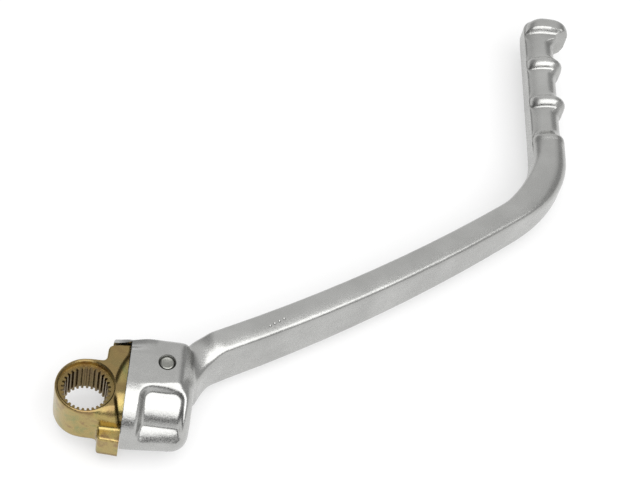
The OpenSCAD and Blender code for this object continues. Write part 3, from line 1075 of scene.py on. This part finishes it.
@dataclass
class SplinedKnuckle:
    """Splined boss, neck, stop lugs and spigot: one steel piece."""

    joint: FoldJoint
    node: bpy.types.Object
    voxel_mm: float = 0.36
    passes: int = 30
    teeth: int = 30
    tip_r: float = 9.2
    root_r: float = 10.3
    recess_r: float = 11.6
    recess_z: float = 8.0
    half_boss: float = 11.0
    upper_lug_y: float = 22.0
    lower_lug_y: float = 19.2
    lower_lug_z: float = 12.4
    lug_overlap: float = 0.8
    relief_floor: float = 9.8
    # Turned and drilled on the spigot
    seal_groove: Point2 = (18.8, 20.4)
    seal_floor_r: float = 9.09
    drill_from: float = 25.2
    drill_len: float = 14.0
    # Half widths of a tooth space, as shares of the tooth pitch, and the recess's sloped seat
    tip_share: float = 0.30
    root_share: float = 0.16
    seat_slope: float = 0.12
    seat_inset: float = 0.2
    mouth_depth: float = 0.6
    mouth_out: float = 0.7
    # How far the cutters reach
    cut_over: float = 0.1
    teeth_over: float = 1.0
    groove_cut_r: float = 12.0
    face_cut_r: float = 40.0
    face_cut_end: float = 24.0
    # Stock before machining
    boss_stock: float = 0.5
    spigot_stock: float = 0.4
    face_stock: Point2 = (0.5, 2.5)
    lug_root_y: float = -9.0
    crease_deg: float = 38.0

    def blank(self) -> bpy.types.Object:
        """Makes the knuckle before machining: no splines, and stock on the joint face.

        Returns:
            The soft blank.
        """
        body = solid_copy(self.node, "splined_knuckle")
        near = self.joint.face_x - self.face_stock[0]
        far = self.joint.face_x + self.face_stock[1]
        half = self.half_boss
        lap = self.lug_overlap
        stock = [
            rod("stock_boss", self.recess_r + self.boss_stock, (0, 0, -half), 2 * half, Along.Z),
            rod("stock_round", self.joint.spigot_r + self.spigot_stock, (near, 0, 0), far - near, Along.X),
            block("stock_upper", (near, 0, -lap), (far, self.upper_lug_y, self.relief_floor)),
            block("stock_lower", (near, -self.lower_lug_y, -self.lower_lug_z), (far, self.lug_root_y, lap)),
        ]
        join(body, *stock)
        forge_skin(body, self.voxel_mm, self.passes)
        return body

    def ring_cutter(
        self, name: str, inner: float, outer: float, first: float, last: float
    ) -> bpy.types.Object:
        """Makes a cutter that turns a ring off the spigot, down to the inner radius."""
        return lathe(name, [(inner, first), (outer, first), (outer, last), (inner, last)], along=Along.X)

    def mouth_profile(self) -> list[Point2]:
        """Gives the recess and the chamfer at the spline's upper mouth.

        Returns:
            Corners as (radius, z).
        """
        top = self.half_boss + self.cut_over
        seat = self.recess_z - (self.recess_r - self.root_r) * self.seat_slope
        return [
            (0, seat),
            (self.root_r - self.seat_inset, seat),
            (self.recess_r, self.recess_z),
            (self.recess_r, self.half_boss - self.mouth_depth),
            (self.recess_r + self.mouth_out, top),
            (0, top),
        ]

    def tooth_outline(self) -> list[Point2]:
        """Gives the outline of the spline's space, tooth by tooth.

        Returns:
            Corners as (x, y).
        """
        tip, root = self.tip_share, self.root_share
        corners = ((-tip, self.tip_r), (-root, self.root_r), (root, self.root_r), (tip, self.tip_r))
        return [
            (radius * math.cos(turn), radius * math.sin(turn))
            for i in range(self.teeth)
            for share, radius in corners
            for turn in [(i + share) * math.tau / self.teeth]
        ]

    def build(self, finish: bpy.types.Material) -> bpy.types.Object:
        """Builds and dresses the knuckle.

        Args:
            finish: the yellow zinc.

        Returns:
            The finished knuckle.
        """
        joint = self.joint
        knuckle = self.blank()
        face = (joint.spigot_r, self.face_cut_r, joint.face_x, self.face_cut_end)
        machine(knuckle, self.ring_cutter("cut_face", *face))
        groove = (self.seal_floor_r, self.groove_cut_r, *self.seal_groove)
        machine(knuckle, self.ring_cutter("cut_seal_groove", *groove))
        turn = math.radians(joint.dimple_turns[0])
        drill_at = (self.drill_from, joint.dimple_off * math.cos(turn), joint.dimple_off * math.sin(turn))
        machine(knuckle, rod("cut_ball_drill", joint.dimple_r, drill_at, self.drill_len, Along.X, 48))
        reach = self.half_boss + self.teeth_over
        machine(knuckle, prism("cut_teeth", self.tooth_outline(), -reach, reach, Along.Z))
        mouth = self.mouth_profile()
        machine(knuckle, lathe("cut_mouth_up", mouth))
        machine(knuckle, lathe("cut_mouth_down", [(radius, -z) for radius, z in mouth]))
        shade(knuckle, self.crease_deg)
        dress(knuckle, finish, "yellow_zinc_steel", "knuckle", "knuckle")
        return knuckle


@dataclass
class CrossPin:
    """Dowel pin that holds the spigot in the hub, driven in just below the hub's flats."""

    joint: FoldJoint
    below_mm: float = 0.45
    chamfer_mm: float = 0.6
    shoulder_mm: float = 0.2
    rim_mm: float = 0.35
    rim_depth_mm: float = 0.12
    dish_mm: float = 0.2
    crease_deg: float = 30.0

    def build(self, finish: bpy.types.Material) -> bpy.types.Object:
        """Builds and dresses the pin.

        Args:
            finish: the ground steel.

        Returns:
            The pin.
        """
        joint = self.joint
        top = joint.half_h - self.below_mm
        r = joint.pin_r
        inner = r - self.chamfer_mm
        upper = [
            (r, top - self.chamfer_mm),
            (r - self.shoulder_mm, top - self.shoulder_mm),
            (inner, top),
            (inner - self.rim_mm, top - self.rim_depth_mm),
            (0, top - self.dish_mm),
        ]
        lower = [(radius, -z) for radius, z in reversed(upper)]
        pin = lathe("cross_pin", [*lower, *upper], (joint.pin_x, joint.pin_y, 0), steps=64)
        shade(pin, self.crease_deg)
        dress(pin, finish, "bright_steel", "arm", "retaining_pin")
        return pin


@dataclass
class JointInternals:
    """Washer, seal, ball and spring inside the joint: their solids stay, with real finishes."""

    nodes: dict[str, bpy.types.Object]

    def build(self, steel: bpy.types.Material, rubber: bpy.types.Material) -> None:
        """Dresses the inner solids.

        Args:
            steel: the ground steel.
            rubber: the seal's rubber.
        """
        finishes = {"thrust_washer": steel, "detent_ball": steel, "detent_spring": steel, "seal_ring": rubber}
        for name, finish in finishes.items():
            materials = self.nodes[name].data.materials
            materials.clear()
            materials.append(finish)
            log.info("%s: dressed as %s", name, finish.name)


@dataclass
class Studio:
    """White table, soft overhead light and the camera of the photograph."""

    floor_z: float = -19.2
    table_size_m: float = 6.0
    table_matt: float = 0.86
    table_glow: float = 1.1
    glow_share: float = 0.4
    room_front: float = 0.14
    room_right: float = 0.6
    room_ceiling: float = 0.8
    room_back: float = 0.95
    room_sides: float = 0.45
    overhead_radiance: float = 2.0
    overhead_height: float = 1200.0
    overhead_front: float = -3000.0
    overhead_back: float = 230.0
    overhead_left: float = -500.0
    overhead_right: float = 1300.0
    focal_px: float = 1814.81
    frame_px: float = 640.0
    sensor_mm: float = 36.0
    eye: Point3 = (16.4244, -375.6632, 665.8332)
    yaw: float = 0.163302584
    pitch: float = 0.948643826
    roll: float = 0.264061767

    def add_floor(self) -> bpy.types.Object:
        """Adds the table: white to the eye and in reflections, and shaded under the lever.

        Returns:
            The table.
        """
        bpy.ops.mesh.primitive_plane_add(size=self.table_size_m, location=(0, 0, self.floor_z * MM))
        floor = just_added("studio_table")
        paint = empty_material("table_white")
        tree = paint.node_tree
        path = add_node(tree, "ShaderNodeLightPath")
        seen = path.outputs["Is Camera Ray"]
        for kind in ("Is Glossy Ray", "Is Transmission Ray"):
            seen = add_node(
                tree, "ShaderNodeMath", links={0: seen, 1: path.outputs[kind]}, operation="MAXIMUM"
            ).outputs[0]
        share = add_node(tree, "ShaderNodeMath", {1: self.glow_share}, {0: seen}, operation="MULTIPLY")
        matt = add_node(tree, "ShaderNodeBsdfDiffuse", {"Color": grey(self.table_matt)})
        glow = add_node(tree, "ShaderNodeEmission", {"Color": grey(1.0), "Strength": self.table_glow})
        mix = add_node(
            tree,
            "ShaderNodeMixShader",
            links={0: share.outputs[0], 1: matt.outputs["BSDF"], 2: glow.outputs["Emission"]},
        )
        add_node(tree, "ShaderNodeOutputMaterial", links={"Surface": mix.outputs["Shader"]})
        floor.data.materials.append(paint)
        return floor

    def add_world(self) -> None:
        """Adds the room: a pale wall behind, darker to the sides, and a dark front with a ceiling."""
        world = bpy.data.worlds.new("studio_room")
        bpy.context.scene.world = world
        world.use_nodes = True
        tree = world.node_tree
        tree.nodes.clear()
        way = add_node(tree, "ShaderNodeTexCoord").outputs["Generated"]
        parts = add_node(tree, "ShaderNodeSeparateXYZ", links={"Vector": way})
        right = add_node(
            tree,
            "ShaderNodeMapRange",
            {"From Min": 0.15, "From Max": 0.65, "To Min": self.room_front, "To Max": self.room_right},
            {"Value": parts.outputs["X"]},
            interpolation_type="SMOOTHSTEP",
        )
        before = add_node(
            tree,
            "ShaderNodeMapRange",
            {"From Min": 0.4, "From Max": 0.9, "To Max": self.room_ceiling},
            {"Value": parts.outputs["Z"], "To Min": right.outputs["Result"]},
            interpolation_type="SMOOTHSTEP",
        )
        across = add_node(tree, "ShaderNodeMath", links={0: parts.outputs["X"]}, operation="ABSOLUTE")
        sides = add_node(
            tree,
            "ShaderNodeMapRange",
            {"From Min": 0.28, "From Max": 0.7, "To Min": self.room_back, "To Max": self.room_sides},
            {"Value": across.outputs[0]},
            interpolation_type="SMOOTHSTEP",
        )
        room = add_node(
            tree,
            "ShaderNodeMapRange",
            {"From Min": -0.15, "From Max": 0.45},
            {
                "Value": parts.outputs["Y"],
                "To Min": before.outputs["Result"],
                "To Max": sides.outputs["Result"],
            },
            interpolation_type="SMOOTHSTEP",
        )
        back = add_node(
            tree, "ShaderNodeBackground", {"Color": grey(1.0)}, {"Strength": room.outputs["Result"]}
        )
        add_node(tree, "ShaderNodeOutputWorld", links={"Surface": back.outputs["Background"]})

    def add_overhead(self) -> None:
        """Adds the soft box above the table, as one wide even light."""
        depth = (self.overhead_back - self.overhead_front) * MM
        width = (self.overhead_right - self.overhead_left) * MM
        across = (self.overhead_right + self.overhead_left) / 2
        middle = (self.overhead_back + self.overhead_front) / 2
        bpy.ops.object.light_add(type="AREA", location=Vector((across, middle, self.overhead_height)) * MM)
        lamp = just_added("overhead_soft_box")
        lamp.data.shape = "RECTANGLE"
        lamp.data.size = width
        lamp.data.size_y = depth
        lamp.data.energy = self.overhead_radiance * math.pi * width * depth

    def add_camera(self) -> None:
        """Adds the camera at the place that the photograph's perspective gives."""
        flat = Vector((math.sin(self.yaw), math.cos(self.yaw), 0))
        look = flat * math.cos(self.pitch) + Vector((0, 0, -math.sin(self.pitch)))
        right = Vector((math.cos(self.yaw), -math.sin(self.yaw), 0))
        up = right.cross(look)
        c, s = math.cos(self.roll), math.sin(self.roll)
        turned_right = right * c + up * s
        turned_up = up * c - right * s
        bpy.ops.object.camera_add()
        camera = just_added("photo_camera")
        camera.data.sensor_width = self.sensor_mm
        camera.data.lens = self.focal_px / self.frame_px * self.sensor_mm
        camera.data.clip_start = 0.01
        camera.data.clip_end = 20.0
        turn = Matrix((turned_right, turned_up, -look)).transposed()
        camera.matrix_world = Matrix.Translation(Vector(self.eye) * MM) @ turn.to_4x4()
        bpy.context.scene.camera = camera

    def build(self) -> None:
        """Builds the table, the room, the light and the camera."""
        self.add_camera()
        self.add_floor()
        self.add_world()
        self.add_overhead()
        bpy.context.scene.view_settings.view_transform = "Standard"
        log.info("studio: table, room, soft box and camera")


def main() -> None:
    """Builds the lever's pieces in order, and the studio around them."""
    logging.basicConfig(level=logging.INFO, format="%(message)s")
    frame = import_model()
    nodes = frame["nodes"]
    Studio().build()
    aluminium = ForgedAluminium().build()
    zinc = YellowZinc().build()
    steel = GroundSteel().build()
    rubber = SealRubber().build()
    joint = FoldJoint()
    ForgedArm(joint, nodes["kick_arm"]).build(aluminium)
    SplinedKnuckle(joint, nodes["knuckle"]).build(zinc)
    CrossPin(joint).build(steel)
    JointInternals(nodes).build(steel, rubber)


if __name__ == "__main__":
    main()
